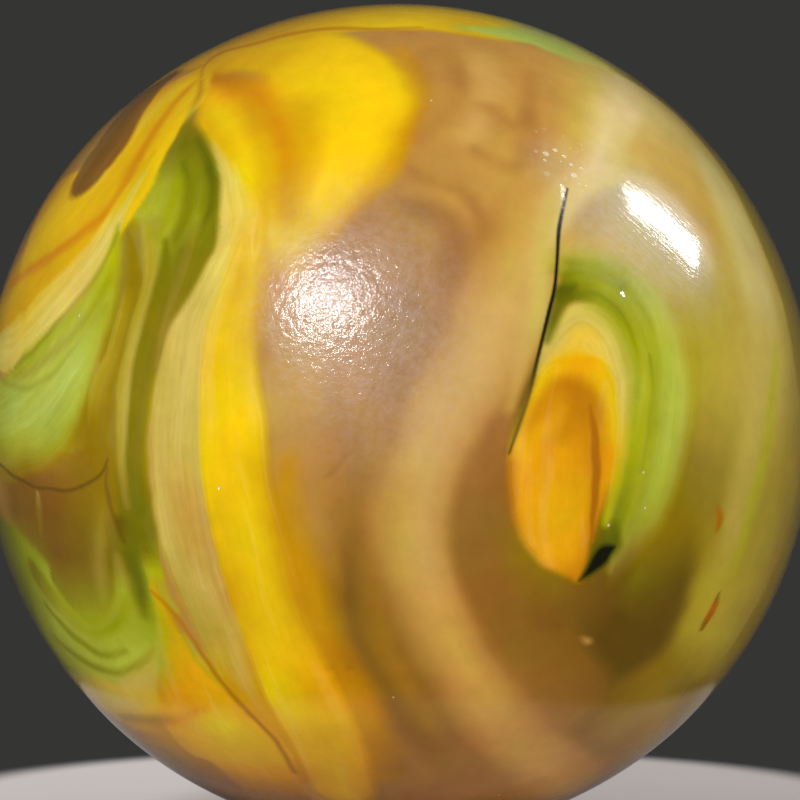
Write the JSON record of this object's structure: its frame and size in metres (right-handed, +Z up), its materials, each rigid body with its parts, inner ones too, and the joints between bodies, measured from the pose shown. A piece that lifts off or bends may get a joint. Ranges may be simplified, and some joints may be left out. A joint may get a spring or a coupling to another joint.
{
  "type": "glass marble",
  "caption": "Solid ball of swirled coloured glass for playing, with a cold seam and small chips in its surface.",
  "frame": {"origin": "centre of the ball", "axes": "+Z up through the ball as the picture shows it, -Y towards the viewer, on the side with the cold seam, and +X to the viewer's right"},
  "size_m": [0.016, 0.016, 0.016],
  "materials": {
    "swirled_glass": "polished opaque glass, streaked yellow, amber, brown, cream and green, lightly worn"
  },
  "bodies": {
    "root": {"glass_marble": "swirled_glass"}
  },
  "joints": []
}
